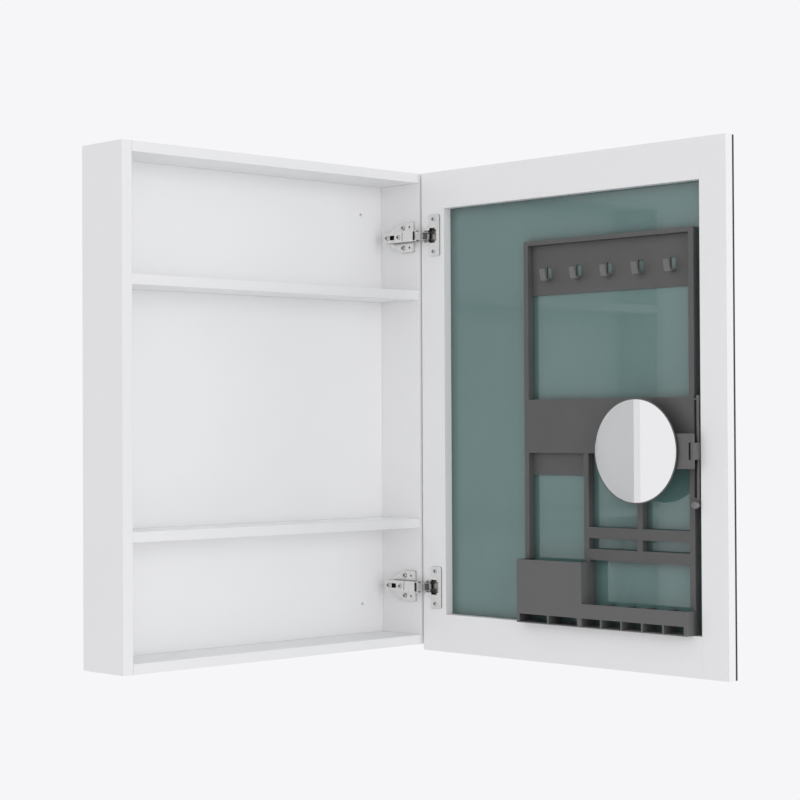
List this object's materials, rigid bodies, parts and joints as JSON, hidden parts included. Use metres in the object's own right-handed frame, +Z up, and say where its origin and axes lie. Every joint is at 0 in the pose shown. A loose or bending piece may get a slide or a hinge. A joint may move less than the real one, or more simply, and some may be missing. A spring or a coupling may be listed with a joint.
{
  "type": "medicine cabinet",
  "caption": "Wall-hung mirrored medicine cabinet: shallow white carcass with shelves, a mirror door on concealed cup hinges, and a door organiser with a sliding make-up mirror.",
  "frame": {"origin": "middle of the back face, on the wall plane", "axes": "+X to the right seen from the front, +Y into the wall, +Z up; the door is drawn open at a right angle, towards -Y"},
  "size_m": [0.615, 0.7095, 0.771],
  "materials": {
    "satin_white_board": "satin white lacquer on board",
    "beech_dowel": "plain beech",
    "mirror_pane": "silvered glass with a painted grey-green back",
    "make_up_glass": "silvered glass",
    "nickel_steel": "nickel-plated steel",
    "link_steel": "bright-rolled steel",
    "dark_steel": "matt dark grey coat on steel",
    "zinc_screw": "zinc-plated steel",
    "grey_moulding": "matt dark grey moulding"
  },
  "bodies": {
    "cabinet": {"left_side_panel": "satin_white_board", "right_side_panel": "satin_white_board", "top_panel": "satin_white_board", "bottom_panel": "satin_white_board", "back_panel": "satin_white_board", "upper_shelf": "satin_white_board", "lower_shelf": "satin_white_board", "carcass_dowels": "beech_dowel", "back_panel_screws": "zinc_screw", "upper_hinge_plate": "nickel_steel", "lower_hinge_plate": "nickel_steel", "upper_hinge_arm": "nickel_steel", "lower_hinge_arm": "nickel_steel", "hinge_plate_screws": "zinc_screw", "hinge_arm_screws": "zinc_screw", "hinge_arm_pins": "nickel_steel"},
    "hinge_outer_links": {"upper_outer_link": "link_steel", "lower_outer_link": "link_steel"},
    "hinge_inner_links": {"upper_inner_link": "link_steel", "lower_inner_link": "link_steel", "inner_link_pins": "nickel_steel"},
    "door": {"hinge_stile": "satin_white_board", "free_stile": "satin_white_board", "top_rail": "satin_white_board", "bottom_rail": "satin_white_board", "door_frame_dowels": "beech_dowel", "door_mirror": "mirror_pane", "upper_hinge_cup": "nickel_steel", "lower_hinge_cup": "nickel_steel", "hinge_cup_screws": "zinc_screw", "hinge_cup_pins": "nickel_steel", "organiser_frame": "grey_moulding", "organiser_hook_rail": "grey_moulding", "organiser_tray": "grey_moulding", "mirror_rod": "dark_steel", "rod_knob": "dark_steel"},
    "mirror_slider": {"mirror_slide_bush": "grey_moulding"},
    "make_up_mirror": {"mirror_bracket": "grey_moulding", "mirror_bracket_screws": "zinc_screw", "make_up_mirror_housing": "grey_moulding", "make_up_mirror_glass": "make_up_glass"}
  },
  "joints": [
    {"name": "outer_link_turn", "type": "hinge", "parent": "cabinet", "child": "hinge_outer_links", "pos_m": [0.274, -0.102, 0], "axis": [0, 0, 1], "range_deg": [-3.3, 19.5]},
    {"name": "door_swing", "type": "hinge", "parent": "hinge_outer_links", "child": "door", "pos_m": [0.29359, -0.10952, 0], "axis": [0, 0, 1], "range_deg": [-109.4, 18.23]},
    {"name": "inner_link_turn", "type": "hinge", "parent": "cabinet", "child": "hinge_inner_links", "pos_m": [0.28, -0.098, 0], "axis": [0, 0, 1], "range_deg": [-1.2, 6.4]},
    {"name": "mirror_slide", "type": "slide", "parent": "door", "child": "mirror_slider", "axis": [0, 0, 1], "range_m": [-0.03, 0.055]},
    {"name": "mirror_swing", "type": "hinge", "parent": "mirror_slider", "child": "make_up_mirror", "pos_m": [0.292, -0.6565, -0.06676], "axis": [0, 0, 1], "range_deg": [0, 20]}
  ],
  "couplings": [
    {"joint": "outer_link_turn", "follows": "door_swing", "ratio": -0.17732},
    {"joint": "inner_link_turn", "follows": "door_swing", "ratio": -0.056765}
  ]
}
